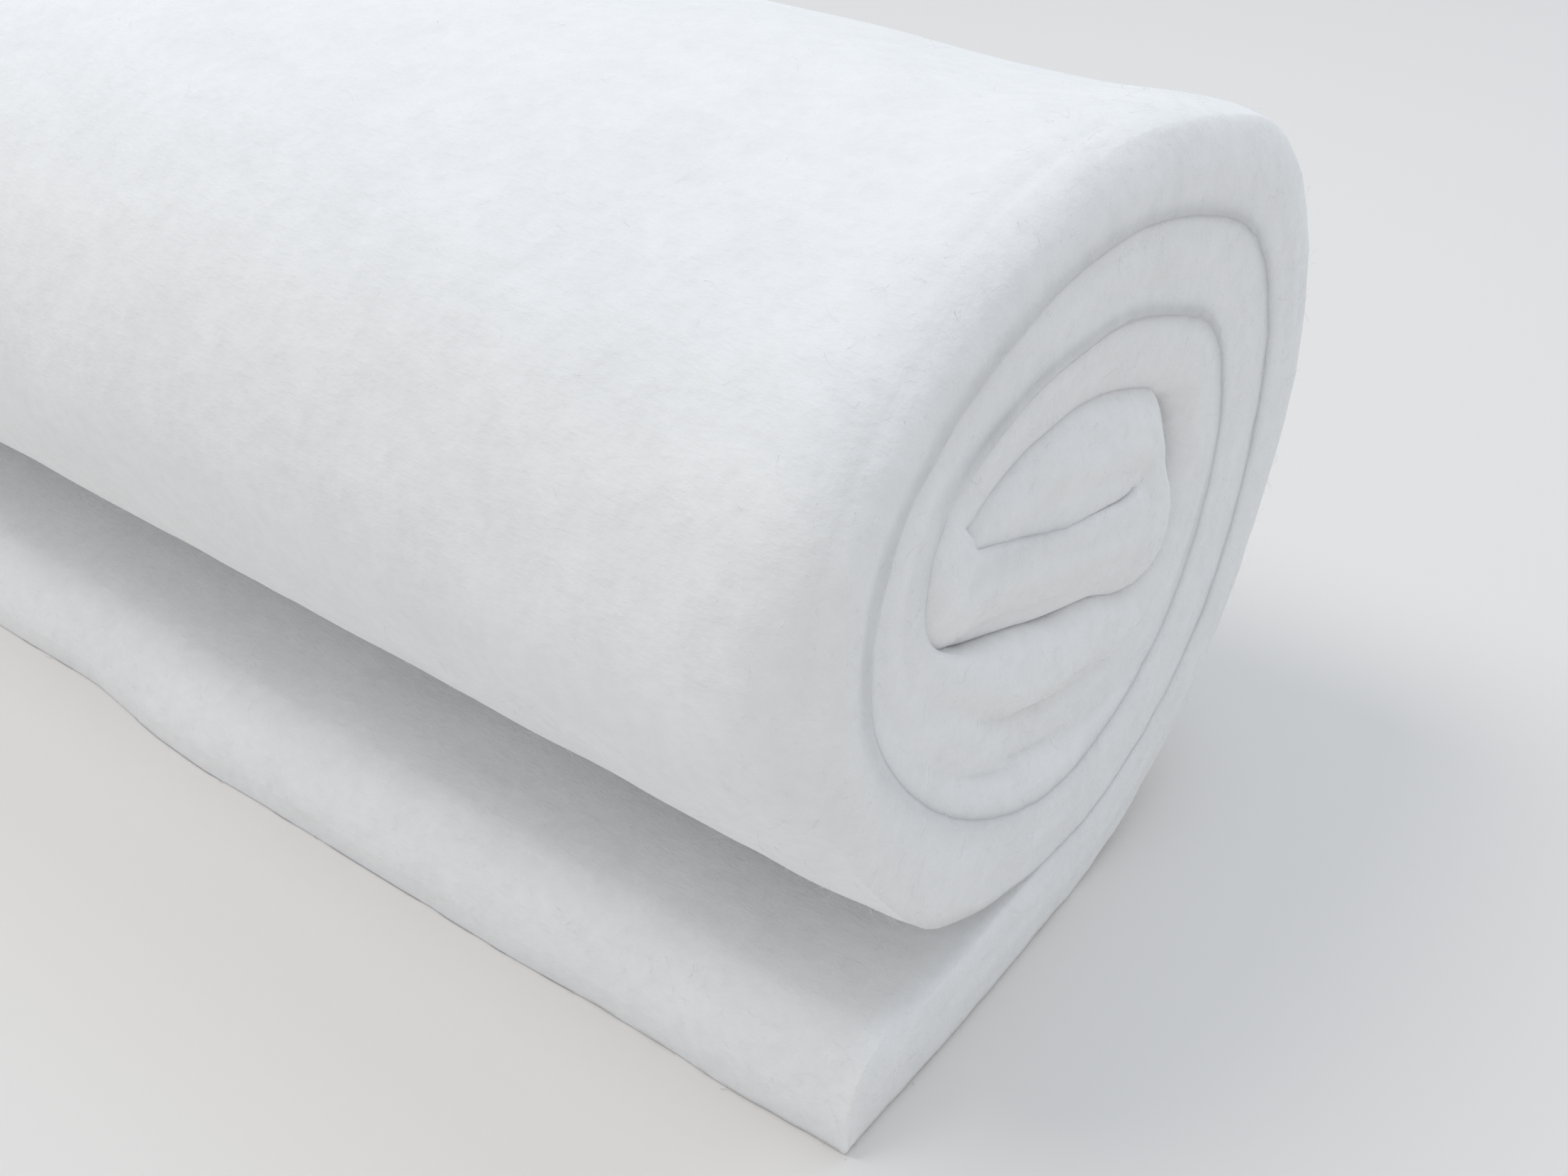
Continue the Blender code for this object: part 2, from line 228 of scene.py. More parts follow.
@dataclass
class WoundCourse:
    """Course of the web from the edge of its loose end, round the winding and into the folded middle."""

    flap_length: float = 86.0
    middle_height: float = 113.0
    spiral_turns: float = 2.665
    steps_per_turn: int = 360
    wrap_softening: int = 10
    line_softening: int = 5
    value_softening: int = 4
    outline: Table = Table(
        ("turn", "reach"),
        (
            (0 / 12, 113.0),
            (1 / 12, 118.5),
            (2 / 12, 124.0),
            (3 / 12, 130.0),
            (4 / 12, 121.0),
            (5 / 12, 98.5),
            (6 / 12, 89.0),
            (7 / 12, 90.5),
            (8 / 12, 99.0),
            (9 / 12, 97.0),
            (10 / 12, 87.0),
            (11 / 12, 83.5),
        ),
    )
    wraps: Table = Table(
        ("turn", "thickness", "gap", "set_back", "hollow", "rim"),
        (
            (0.00, 24.1, -0.8, 0.0, 0.0, 1.6),
            (0.12, 24.3, -0.8, 0.3, 0.8, 0.6),
            (0.25, 29.8, -0.8, 0.8, 2.5, 0.1),
            (0.50, 21.9, -0.8, 2.2, 3.0, 0.0),
            (0.75, 20.1, -0.8, 1.6, 2.5, 0.0),
            (0.90, 21.4, -0.8, 0.3, 0.8, 0.8),
            (1.00, 23.1, -0.8, 0.5, 0.0, 1.5),
            (1.12, 23.3, -0.8, 1.0, 0.8, 1.3),
            (1.25, 25.6, -0.8, 2.0, 2.0, 0.6),
            (1.50, 19.8, -0.8, 3.8, 1.5, 0.0),
            (1.75, 20.6, -0.8, 3.2, 1.0, 0.0),
            (1.80, 28.0, -0.8, 3.0, 0.5, 0.6),
            (1.86, 36.0, -0.8, 3.0, 0.0, 1.3),
            (1.96, 41.5, -0.8, 3.0, 0.0, 1.8),
            (2.04, 40.6, -0.8, 3.0, 0.0, 1.8),
            (2.12, 25.0, -0.8, 2.6, 0.5, 1.8),
            (2.18, 17.0, -0.8, 2.4, 1.2, 1.4),
            (2.25, 16.4, -0.8, 2.8, 1.5, 1.2),
            (2.50, 17.6, -0.8, 4.4, 2.0, 1.0),
            (2.75, 15.0, -0.8, 4.2, 0.5, 1.0),
        ),
    )
    core: Table = Table(
        ("length", "bend", "thickness", "set_back", "hollow", "swell"),
        (
            (15.0, 76.0, 16.5, 2.8, 0.5, 0.5),
            (8.0, 41.0, 16.5, 3.8, 0.3, 1.5),
            (30.0, 0.0, 19.5, 4.2, 0.3, 0.0),
            (41.0, 9.0, 20.5, 2.8, 0.8, 0.0),
            (14.0, 44.0, 21.0, 1.6, 2.2, 15.0),
            (9.0, 46.0, 21.5, 3.0, 3.2, -5.5),
            (9.0, 48.0, 22.5, 3.4, 2.6, -4.0),
            (14.0, 42.0, 24.5, 3.4, 1.4, -1.2),
            (31.0, 2.0, 25.0, 4.2, 0.3, 2.6),
            (42.0, 16.0, 17.0, 5.8, 0.3, 1.0),
        ),
    )
    core_rim: float = 3.6
    slit_share: float = 0.1
    core_joined: tuple[float, float] = (20.0, 40.0)
    wraps_joined: tuple[float, float] = (1.83, 1.91)
    seam_step: float = 0.25

    @staticmethod
    def inward(points: np.ndarray) -> np.ndarray:
        """Give the left-hand normals of a line of points, which face the middle of the winding."""
        run = np.gradient(points, axis=0)
        run /= np.linalg.norm(run, axis=1, keepdims=True)
        return np.column_stack([-run[:, 1], run[:, 0]])

    def wound_wraps(self) -> tuple[np.ndarray, ...]:
        """Lay the wraps one inside the other.

        Returns:
            The middle line, then the thickness, set-back, hollow, rim, swell and turns, a row for each step.
        """
        turns = np.arange(int(self.spiral_turns * self.steps_per_turn) + 1) / self.steps_per_turn
        names = ("thickness", "gap", "set_back", "hollow", "rim")
        thickness, gap, set_back, hollow, rim = (self.wraps.read(name, turns) for name in names)
        closing = (1.0, self.outline.rows[0][1] - thickness[0] - gap[self.steps_per_turn])
        reach = Table(self.outline.columns, self.outline.rows + (closing,)).read("reach", turns)
        for here in range(self.steps_per_turn, len(turns)):
            before = here - self.steps_per_turn
            slope = (reach[before + 1] - reach[before]) * self.steps_per_turn / (2.0 * math.pi)
            slant = math.hypot(1.0, slope / reach[before])
            reach[here] = reach[before] - (thickness[before] + gap[here]) * slant
        reach = softened(reach, self.wrap_softening)
        angle = 2.0 * math.pi * (turns - 0.25)
        outside = np.column_stack([reach * np.cos(angle), self.middle_height + reach * np.sin(angle)])
        outside[:, 1] = np.maximum(outside[:, 1], 0.0)
        middle = outside + self.inward(outside) * thickness[:, None] / 2.0
        return middle, np.column_stack([thickness, set_back, hollow, rim, 0.0 * turns, turns])

    def folded_core(self, place: np.ndarray, heading: float) -> tuple[np.ndarray, ...]:
        """Run the inner end into the middle, one lobe back over the other.

        Args:
            place: Where the wraps end.
            heading: Their heading there, in radians.

        Returns:
            The middle line, then the same values as for the wraps, a row for about each millimetre.
        """
        rows = []
        last = np.array([self.wraps.rows[-1][1], self.wraps.rows[-1][3], self.wraps.rows[-1][4], 0.0])
        for length, bend, *sizes in self.core.rows:
            following = np.array(sizes)
            steps = int(length)
            for step in range(1, steps + 1):
                heading += math.radians(bend) / steps
                place = place + np.array([math.cos(heading), math.sin(heading)]) * length / steps
                loft, behind, hollow, swell = last + (following - last) * step / steps
                rows.append((*place, loft, behind, hollow, self.core_rim, swell, self.spiral_turns))
            last = following
        table = np.array(rows)
        return table[:, 0:2], table[:, 2:8]

    def whole(self) -> Run:
        """Join the loose end, the wraps and the folded middle.

        Returns:
            The run of the whole web, from the edge of its loose end.
        """
        middle, values = self.wound_wraps()
        run = middle[-1] - middle[-6]
        core, core_values = self.folded_core(middle[-1], math.atan2(run[1], run[0]))
        steps = int(self.flap_length)
        across = np.linspace(middle[0, 0] - self.flap_length, middle[0, 0], steps, endpoint=False)
        flap = np.column_stack([across, np.full(steps, values[0, 0] / 2.0)])
        line = np.concatenate([flap, middle, core])
        line = np.column_stack([softened(column, self.line_softening) for column in line.T])
        values = np.concatenate([np.tile(values[0], (steps, 1)), values, core_values])
        sizes = [softened(column, self.value_softening) for column in values[:, 0:5].T]
        length = np.concatenate([[0.0], np.cumsum(np.linalg.norm(np.diff(line, axis=0), axis=1))])
        return Run(line, self.inward(line), *sizes, values[:, 5], length)


class Skin(Enum):
    """The two faces of the web, by their place across its thickness."""

    OUTSIDE = -1.0
    INSIDE = 1.0


@dataclass
class WaddingWeb:
    """One length of wadding: cut flat, wound, and dressed with plies and soft unevenness.

    A place is a distance along the roll from its seen end, a length is one along the web from its loose
    edge, and across runs through its thickness. The pairs stack, front_bulge_at, crease_turn and
    crease_place hold a middle and a reach, winding_middle a place across the floor, ply_strength and
    stack_plies two strengths, and the other pairs a start and an end.
    """

    course: WoundCourse
    width: float = 690.0
    stations: int = 108
    cross_lines: int = 318
    ply_cuts: int = 15
    bend_per_line: float = 0.13
    closest_lines: float = 2.4
    widest_lines: float = 6.2
    winding_middle: tuple[float, float] = (-0.26, -16.25)
    edge: Table = Table(
        ("distance", "share", "drawn_in", "joined", "open"),
        (
            (0.0, 0.98, 5.4, 1.1, -0.8),
            (1.5, 0.99, 4.9, 1.1, 0.2),
            (4.0, 1.0, 4.05, 1.1, 1.3),
            (9.0, 1.0, 2.35, 1.1, 1.9),
            (16.0, 1.0, 0.7, 1.0, 1.9),
            (24.0, 1.0, 0.0, 1.0, 1.7),
        ),
    )
    filling: float = 1.8
    flap_edge: Table = Table(
        ("distance", "share"),
        (
            (0.0, 0.32),
            (1.5, 0.50),
            (4.0, 0.70),
            (8.0, 0.87),
            (15.0, 1.0),
        ),
    )
    along: Table = Table(
        ("place", "height", "width", "edge_reach", "settled"),
        (
            (0.0, 0.996, 1.000, -1.4, 0.0),
            (16.0, 0.981, 1.000, -0.9, 2.5),
            (40.0, 0.972, 0.999, -0.3, 5.6),
            (65.0, 0.975, 0.998, 0.3, 6.4),
            (95.0, 0.984, 0.998, 1.0, 6.6),
            (135.0, 0.990, 1.000, 1.9, 6.6),
            (185.0, 1.000, 1.003, 2.4, 6.6),
            (235.0, 1.004, 1.005, 2.8, 6.6),
            (285.0, 0.999, 1.003, -1.7, 6.6),
            (330.0, 0.994, 0.999, -1.1, 6.6),
            (430.0, 1.004, 0.996, 1.8, 6.6),
            (550.0, 0.995, 1.004, -1.4, 6.6),
            (674.0, 0.990, 1.002, 0.8, 5.6),
            (690.0, 0.994, 1.002, 0.6, 4.0),
        ),
    )
    station_spread: Table = Table(
        ("share", "place"),
        (
            (0.000, 0.0),
            (0.040, 2.6),
            (0.100, 10.0),
            (0.160, 26.0),
            (0.300, 96.0),
            (0.860, 610.0),
            (0.930, 670.0),
            (0.975, 686.0),
            (1.000, 690.0),
        ),
    )
    outermost: Table = Table(
        ("turn", "share"),
        ((0.02, 0.0), (0.2, 0.5), (0.4, 1.0), (0.6, 1.35), (0.75, 1.25), (0.88, 0.0)),
    )
    rim_depth: float = 7.0
    hollow_depth: float = 20.0
    shoulder_recess: float = 6.0
    shoulder_round: float = 2.6
    shoulder_depth: float = 14.0
    rim_round: float = 2.2
    rim_unevenness: float = 0.5
    rim_swell: float = 40.0
    tuck_from: float = 0.88
    tuck_depth: float = 0.6
    ply_depth: float = 0.8
    ply_reach: float = 2.5
    plies: Table = Table(
        ("place", "sway", "swell", "seed", "reach"),
        ((-0.36, 0.16, 34.0, 1.0, 0.16), (0.30, 0.18, 41.0, 2.0, 0.15)),
    )
    middle_ply: float = 0.14
    ply_strength: tuple[float, float] = (0.15, 0.9)
    ply_strength_swell: float = 52.0
    stack: tuple[float, float] = (1.96, 0.11)
    stack_plies: tuple[float, float] = (5.5, 4.0)
    end_unevenness: float = 0.7
    end_uneven_reach: float = 12.0
    flap_set_back: float = 1.5
    flap_share: float = 0.8
    flap_wobble: float = 1.1
    floor_snap: float = 0.6
    settled_across: tuple[float, float] = (8.0, 36.0)
    settled_up_to: float = 60.0
    front_bulge: float = 2.6
    front_bulge_at: tuple[float, float] = (0.89, 0.05)
    front_bulge_ends: tuple[float, float] = (150.0, 100.0)
    crease_depth: float = 0.6
    crease_turn: tuple[float, float] = (0.52, 0.05)
    crease_place: tuple[float, float] = (9.5, 1.6)
    drift: float = 1.1
    drift_swell: float = 62.0
    drift_full_height: float = 25.0
    lump: float = 0.55
    lump_turns: tuple[float, float] = (0.04, 0.97)
    lump_on_flap: tuple[float, float] = (4.0, 56.0)

    def cut_flat(self) -> bpy.types.Object:
        """Cut the web as a flat slab with a grid of cross lines, one unit wide and long.

        Returns:
            The slab, whose cut edges are divided across the thickness too.
        """
        bpy.ops.object.select_all(action="DESELECT")
        bpy.ops.mesh.primitive_grid_add(x_subdivisions=self.stations, y_subdivisions=self.cross_lines,
                                        size=1.0)
        web = bpy.context.object
        web.name = "wadding_web"
        web.data.name = "wadding_web"
        wall = web.modifiers.new("loft", "SOLIDIFY")
        wall.thickness = 1.0
        wall.offset = 0.0
        bpy.ops.object.modifier_apply(modifier=wall.name)
        divide_long_edges(web, axis=2, longer_than=0.5, cuts=self.ply_cuts)
        return web

    def line_places(self, run: Run) -> np.ndarray:
        """Choose where along the web the cross lines lie: close where it bends, wide where it is straight.

        Args:
            run: The web's whole run.

        Returns:
            The length along the web of each cross line.
        """
        heading = np.unwrap(np.arctan2(-run.inward[:, 0], run.inward[:, 1]))
        bend = softened(np.abs(np.gradient(heading, run.length)), self.course.value_softening)
        spacing = self.bend_per_line / np.maximum(bend, self.bend_per_line / self.widest_lines)
        spacing = np.maximum(spacing, self.closest_lines)
        near_edge = np.minimum(run.length, run.length[-1] - run.length) < run.thickness[0]
        spacing[near_edge] = self.closest_lines
        steps = np.diff(run.length) / softened(spacing, self.course.value_softening)[1:]
        count = np.concatenate([[0.0], np.cumsum(steps)])
        return np.interp(np.linspace(0.0, count[-1], self.cross_lines + 1), count, run.length)

    def ply_recess(self, across: np.ndarray, here: Run) -> np.ndarray:
        """How far the plies of a cut end lie back.

        Args:
            across: Place across the thickness, from -1 outside to 1 inside.
            here: The web at each point.

        Returns:
            The recess of each point in mm.
        """
        wander = along_only(here.length)
        places = []
        grooves = np.zeros(len(across))
        for place, sway, swell, seed, reach in self.plies.rows:
            places.append(place + sway * uneven(wander, swell, seed))
            grooves += ridge(across, places[-1], reach)
        least, more = self.ply_strength
        strength = least + more * np.clip(uneven(wander, self.ply_strength_swell, 3.0) + 0.1, 0.0, 1.0)
        in_stack = ridge(here.turns, *self.stack)
        middle = ridge(across, sum(places) / len(places), self.middle_ply)
        all_plies, middle_one = self.stack_plies
        return self.ply_depth * (grooves * (strength + all_plies * in_stack) + middle_one * middle * in_stack)

    def end_recess(self, across: np.ndarray, from_end: np.ndarray, here: Run, outermost: np.ndarray,
                   section: np.ndarray) -> np.ndarray:
        """How far the web's surface lies back from the plane of its cut end.

        Args:
            across: Place across the thickness, from -1 outside to 1 inside.
            from_end: Distance from the cut end along the roll.
            here: The web at each point.
            outermost: Share in which each point belongs to the roll's outside.
            section: Places across and heights.

        Returns:
            The recess of each point in mm.
        """
        inward_share = eased((1.0 + across) / 2.0)
        core = self.in_core(here)
        beside_wrap = (here.turns > 1.0) & ~core
        hollow_outside = self.course.wraps.read("hollow", here.turns - 1.0) * beside_wrap
        hollow = here.hollow * inward_share + hollow_outside * (1.0 - inward_share)
        rim_outside = np.where(beside_wrap, self.course.wraps.read("rim", here.turns - 1.0), here.rim)
        rim = np.where(across < 0.0, rim_outside * (1.0 - np.minimum(outermost, 1.0)), here.rim)
        rim *= np.where(core & (across > 0.0), self.course.slit_share, 1.0)
        on_face = np.column_stack([0.0 * across, section])
        rim *= 1.0 + self.rim_unevenness * uneven(on_face, self.rim_swell, 8.0)
        at_rim = np.exp(-from_end / self.rim_depth)
        recess = rim * np.abs(across) ** self.rim_round * at_rim
        recess += hollow * np.exp(-from_end / self.hollow_depth)
        in_joint, out_joint = self.joint_shares(here)
        tucked = ramp(np.abs(across), self.tuck_from, 1.0) ** 2
        tucked *= np.where(across > 0.0, in_joint * self.covered(here, 0), out_joint)
        recess += self.tuck_depth * tucked * at_rim
        shoulder = self.shoulder_recess * outermost * ((1.0 - across) / 2.0) ** self.shoulder_round
        recess += shoulder * np.exp(-from_end / self.shoulder_depth)
        recess += self.ply_recess(across, here) * np.exp(-from_end / self.ply_reach)
        ragged = 0.6 * uneven(on_face, 9.0, 4.0) + uneven(on_face, 45.0, 5.0) + 1.0
        return recess + self.end_unevenness * ragged * np.exp(-from_end / self.end_uneven_reach)

    def slid_back(self, across: np.ndarray, here: Run) -> np.ndarray:
        """How far each wrap has slid back from the seen end, level with its outer neighbour but for a step.

        Args:
            across: Place across the thickness, from -1 outside to 1 inside.
            here: The web at each point.

        Returns:
            The way back of each point in mm.
        """
        inward_share = eased((1.0 + across) / 2.0)
        beside = self.course.wraps.read("set_back", here.turns - 1.0) + self.course.seam_step
        beside_share = ramp(here.turns, 1.0, 1.1) * ramp(here.turns, self.course.spiral_turns,
                                                         self.course.spiral_turns - 0.04)
        outside = here.set_back + (beside - here.set_back) * beside_share
        return here.set_back * inward_share + outside * (1.0 - inward_share)

    def in_core(self, here: Run) -> np.ndarray:
        """Tell which points belong to the folded core."""
        return here.turns >= self.course.spiral_turns

    @staticmethod
    def covered(here: Run, wraps_outside: int) -> np.ndarray:
        """Give the share in which the web has begun to lie beside a wrap, which rises early in a turn."""
        return ramp(here.turns, wraps_outside + 0.05, wraps_outside + 0.15)

    def settled(self, section: np.ndarray, place: np.ndarray) -> np.ndarray:
        """Let the back of the roll down onto the floor, most at its underside and not at all higher up.

        Args:
            section: Places across and heights.
            place: Distances from the visible end.

        Returns:
            The settled heights.
        """
        across = eased(ramp(section[:, 0], *self.settled_across))
        low = ramp(section[:, 1], self.settled_up_to, 0.0)
        drop = self.along.read("settled", place) * across * low ** 2
        heights = section[:, 1] - drop
        return np.where(heights < self.floor_snap, 0.0, heights)

    def joint_shares(self, here: Run) -> tuple[np.ndarray, np.ndarray]:
        """How far the web's inside and outside lie tight against a neighbour, away from the open core.

        Args:
            here: The web at each point.

        Returns:
            The shares of the inside and of the outside, from 0 to 1.
        """
        core = self.in_core(here)
        opens, opened = self.course.wraps_joined
        inside = np.where(core, 1.0, ramp(here.turns, opened, opens))
        opens, opened = self.course.core_joined
        outside = ramp(here.length - here.length[core].min(), opened, opens)
        return inside, outside * self.covered(here, 1)

    def filled(self, across: np.ndarray, from_end: np.ndarray, here: Run) -> np.ndarray:
        """How far the loft presses each skin into its neighbour, so that no slit is left between them.

        Args:
            across: Place across the thickness, from -1 outside to 1 inside.
            from_end: Distance from the cut end along the roll.
            here: The web at each point.

        Returns:
            The way inward of each point in mm.
        """
        joined = self.edge.read("joined", from_end)
        opened = self.edge.read("open", from_end)
        in_joint, out_joint = self.joint_shares(here)
        inside = self.covered(here, 0) * (opened + (joined - opened) * in_joint)
        outside = self.covered(here, 1) * (opened + (joined - opened) * out_joint)
        return self.filling * (inside * (1.0 + across) - outside * (1.0 - across)) / 2.0

    def wind(self, web: bpy.types.Object) -> None:
        """Wind the flat slab: move each vertex from its place in the flat web to its place in the roll."""
        flat = points_of(web)
        run = self.course.whole()
        place = self.station_spread.read("place", np.clip(flat[:, 0] + 0.5, 0.0, 1.0))
        lines = self.line_places(run)
        at = np.interp(flat[:, 1] + 0.5, np.linspace(0.0, 1.0, len(lines)), lines)
        across = flat[:, 2] * 2.0
        here = run.at(at)
        from_end = np.minimum(place, self.width - place)
        half = here.thickness / 2.0 * self.edge.read("share", lines[-1] - at)
        half *= self.edge.read("share", from_end)
        outermost = np.interp(here.turns, self.outermost.column("turn"), self.outermost.column("share"))
        drawn_in = self.edge.read("drawn_in", from_end) * outermost
        offset = half * ((1.0 + across) * self.flap_edge.read("share", at) - 1.0)
        offset += drawn_in * (1.0 - across) / 2.0
        offset += self.filled(across, from_end, here) - here.swell * (1.0 - across) / 2.0
        section = here.line + here.inward * offset[:, None]
        near_flap_edge = ramp(at, self.flap_share * self.course.flap_length, 0.0) ** 2
        section[:, 0] *= self.along.read("width", place)
        section[:, 1] *= self.along.read("height", place)
        down_the_edge = along_only(place)
        wobble = 0.6 * uneven(down_the_edge, 33.0, 6.0) + 0.4 * uneven(down_the_edge, 9.0, 7.0)
        section[:, 0] -= (self.along.read("edge_reach", place) + self.flap_wobble * wobble) * near_flap_edge
        section[:, 1] = self.settled(section, place)
        toward_seen = ramp(place, self.width / 2.0, 0.0)
        behind = (self.slid_back(across, here) + self.flap_set_back * near_flap_edge) * toward_seen
        outward = np.where(place < self.width / 2.0, 1.0, -1.0)
        recess = self.end_recess(across, from_end, here, outermost, section)
        points = np.column_stack([self.width / 2.0 - place - behind - outward * recess, section])
        points = self.soften(points, across, here, place)
        points[:, 2] = np.maximum(points[:, 2], 0.0)
        points[:, 0] += self.winding_middle[0]
        points[:, 1] += self.winding_middle[1]
        web.data.vertices.foreach_set("co", (points * MM).ravel())
        web.data.update()

    def soften(self, points: np.ndarray, across: np.ndarray, here: Run, place: np.ndarray) -> np.ndarray:
        """Give the wound web its soft unevenness: a slow drift of all wraps together, and dents outside.

        Args:
            points: The wound points.
            across: Place across the thickness, from -1 outside to 1 inside.
            here: The web at each point.
            place: Distances from the visible end.

        Returns:
            The moved points.
        """
        lift = ramp(points[:, 2], 0.0, self.drift_full_height)
        for axis, seed in ((1, 11.0), (2, 12.0)):
            swells = uneven(points * np.array([0.6, 1.0, 1.0]), self.drift_swell, seed)
            points[:, axis] += self.drift * lift * swells
        first, last = self.lump_turns
        outside = (across < Skin.OUTSIDE.value + 0.001) & (here.turns > first) & (here.turns < last)
        first, last = self.lump_on_flap
        flap_top = (across > Skin.INSIDE.value - 0.001) & (here.length > first) & (here.length < last)
        shown = outside | flap_top
        moved = np.zeros(len(points))
        moved[shown] = 0.7 * uneven(points[shown], 24.0, 21.0) + 0.3 * uneven(points[shown], 10.0, 22.0)
        moved *= self.lump
        low_front = ridge(here.turns, *self.front_bulge_at) * ramp(place, *self.front_bulge_ends)
        crease = ridge(here.turns, *self.crease_turn) * ridge(place, *self.crease_place)
        moved += outside * (self.front_bulge * low_front - self.crease_depth * crease)
        direction = np.where(outside, -1.0, 1.0)[:, None] * here.inward
        points[:, 1:3] += direction * moved[:, None]
        return points

    def build(self) -> bpy.types.Object:
        """Cut, wind and smooth the web.

        Returns:
            The finished piece.
        """
        web = self.cut_flat()
        self.wind(web)
        smooth_closed(web)
        return web


@dataclass(frozen=True)
class FibreStand:
    """Where loose fibres stand: how many, and which part of the web's surface they cover."""

    name: str
    count: int
    low: tuple[float, float, float]
    high: tuple[float, float, float]


@dataclass
class LooseFibres:
    """Loose fibre ends that stick out of the web: one strand, modelled once and copied over the surface."""

    length: float = 4.5
    radius: float = 0.03
    bends: int = 3
    curl: float = 1.2
    curl_angle: float = 2.4
    lift: float = 0.3
    rooted: float = 0.2
    slid_forward: float = 0.4
    shortest: float = 0.5
    longest: float = 1.3
    end_face: float = 0.5
    winding_middle: tuple[float, float] = (0.0, 100.0)
    skin_from: float = 84.0
    seed: int = 7
    stands: tuple[FibreStand, ...] = (
        FibreStand("seen_end", 1900, (318.0, -120.0, 1.0), (346.0, 120.0, 210.0)),
        FibreStand("far_end", 600, (-346.0, -120.0, 1.0), (-330.0, 120.0, 210.0)),
        FibreStand("flap_edge", 900, (-346.0, -120.0, 0.5), (346.0, -92.0, 24.0)),
        FibreStand("side", 2200, (-346.0, -120.0, 24.0), (346.0, 120.0, 210.0)),
    )

    def strand(self) -> bpy.types.Object:
        """Model the one strand: a thin three-sided rod along X, in mm, bent in a soft curl.

        Returns:
            The strand.
        """
        bpy.ops.object.select_all(action="DESELECT")
        bpy.ops.mesh.primitive_cylinder_add(vertices=3, radius=self.radius, depth=self.length,
                                            rotation=(0.0, math.pi / 2.0, 0.0), end_fill_type="NGON")
        strand = bpy.context.object
        strand.name = "loose_fibres"
        strand.data.name = "loose_fibres"
        bpy.ops.object.transform_apply(location=False, rotation=True, scale=False)
        divide_long_edges(strand, axis=0, longer_than=self.length / 2.0, cuts=self.bends)
        points = points_of(strand)
        share = points[:, 0] / self.length + 0.5
        points[:, 1] += self.curl * np.sin(share * self.curl_angle)
        points[:, 2] += self.curl * 0.5 * share ** 2
        strand.data.vertices.foreach_set("co", points.ravel())
        return strand

    def chosen_faces(self, web: bpy.types.Object, draw: np.random.Generator) -> tuple[np.ndarray, np.ndarray]:
        """Choose the faces of the web that carry a strand.

        Args:
            web: The wound web.
            draw: The source of chance.

        Returns:
            The faces' middles in mm and their normals, a row for each strand.
        """
        count = len(web.data.polygons)
        middles = np.zeros(count * 3)
        normals = np.zeros(count * 3)
        areas = np.zeros(count)
        web.data.polygons.foreach_get("center", middles)
        web.data.polygons.foreach_get("normal", normals)
        web.data.polygons.foreach_get("area", areas)
        middles = middles.reshape(-1, 3) / MM
        normals = normals.reshape(-1, 3)
        reach = np.linalg.norm(middles[:, 1:3] - np.array(self.winding_middle), axis=1)
        shown = (np.abs(normals[:, 0]) > self.end_face) | (reach > self.skin_from)
        picked = []
        for stand in self.stands:
            within = np.all((middles >= stand.low) & (middles <= stand.high), axis=1) & shown
            weight = np.where(within, areas, 0.0)
            picked.append(draw.choice(count, size=stand.count, p=weight / weight.sum()))
            LOG.info("loose fibres on the %s: %d", stand.name, stand.count)
        faces = np.concatenate(picked)
        return middles[faces], normals[faces]

    def build(self, web: bpy.types.Object) -> bpy.types.Object:
        """Copy the strand over the web.

        Args:
            web: The wound web.

        Returns:
            All strands in one piece.
        """
        draw = np.random.default_rng(self.seed)
        fibres = self.strand()
        strand = points_of(fibres)
        corners = [list(face.vertices) for face in fibres.data.polygons]
        middles, normals = self.chosen_faces(web, draw)
        count = len(middles)
        lie = np.cross(normals, draw.normal(size=(count, 3)))
        lie /= np.linalg.norm(lie, axis=1, keepdims=True)
        along = lie + normals * (self.lift * draw.random((count, 1)))
        along /= np.linalg.norm(along, axis=1, keepdims=True)
        aside = np.cross(normals, along)
        aside /= np.linalg.norm(aside, axis=1, keepdims=True)
        above = np.cross(along, aside)
        stretch = draw.uniform(self.shortest, self.longest, size=(count, 1, 1))
        mirrored = stretch * draw.choice((-1.0, 1.0), size=(count, 1, 1))
        local = strand[None] * np.concatenate([stretch, mirrored, stretch], axis=2)
        points = middles[:, None] + local[:, :, 0:1] * along[:, None] + local[:, :, 1:2] * aside[:, None]
        points += local[:, :, 2:3] * above[:, None] - self.rooted * normals[:, None]
        points += along[:, None] * self.length * stretch * self.slid_forward
        points[:, :, 2] = np.maximum(points[:, :, 2], self.radius)
        faces = [[corner + number * len(strand) for corner in face]
                 for number in range(count) for face in corners]
        fibres.data.clear_geometry()
        fibres.data.from_pydata((points.reshape(-1, 3) * MM).tolist(), [], faces)
        smooth_closed(fibres)
        return fibres


